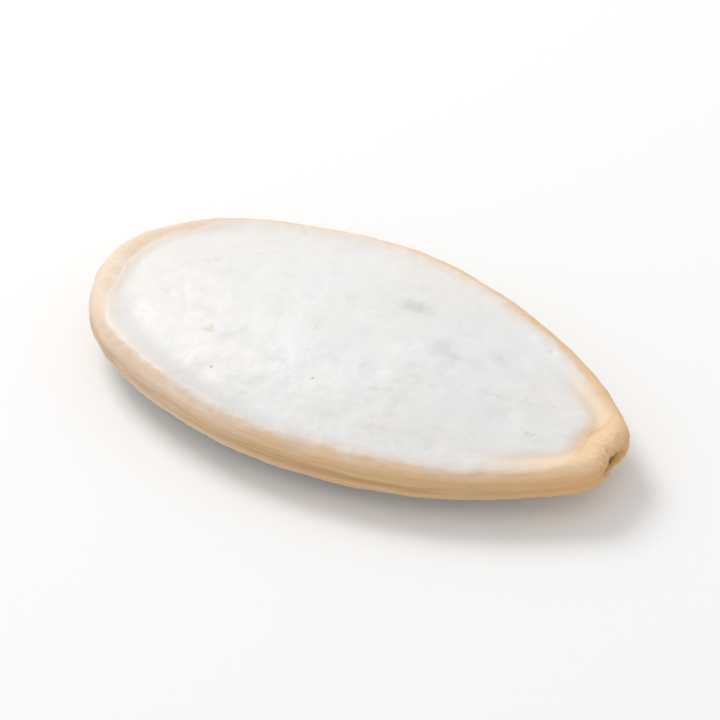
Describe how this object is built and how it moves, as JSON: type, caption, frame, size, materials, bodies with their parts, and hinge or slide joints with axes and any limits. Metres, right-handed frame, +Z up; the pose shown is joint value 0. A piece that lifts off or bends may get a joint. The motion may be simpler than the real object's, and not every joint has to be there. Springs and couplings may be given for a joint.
{
  "type": "pumpkin seed in shell",
  "caption": "Whole pumpkin seed in its dry white shell: flat, egg-shaped, domed on both faces, with a raised tan rim, an edge seam and a blunt hilum end.",
  "frame": {"origin": "centre of the bounding box at its bottom, on the small flat spot that the seed rests on", "axes": "+X along the seed from its round end to its blunt hilum end, +Y across it, +Z up through its thickness"},
  "size_m": [0.02, 0.0116, 0.0029],
  "materials": {
    "seed_coat": "satin"
  },
  "bodies": {
    "root": {"seed": "seed_coat"}
  },
  "joints": []
}
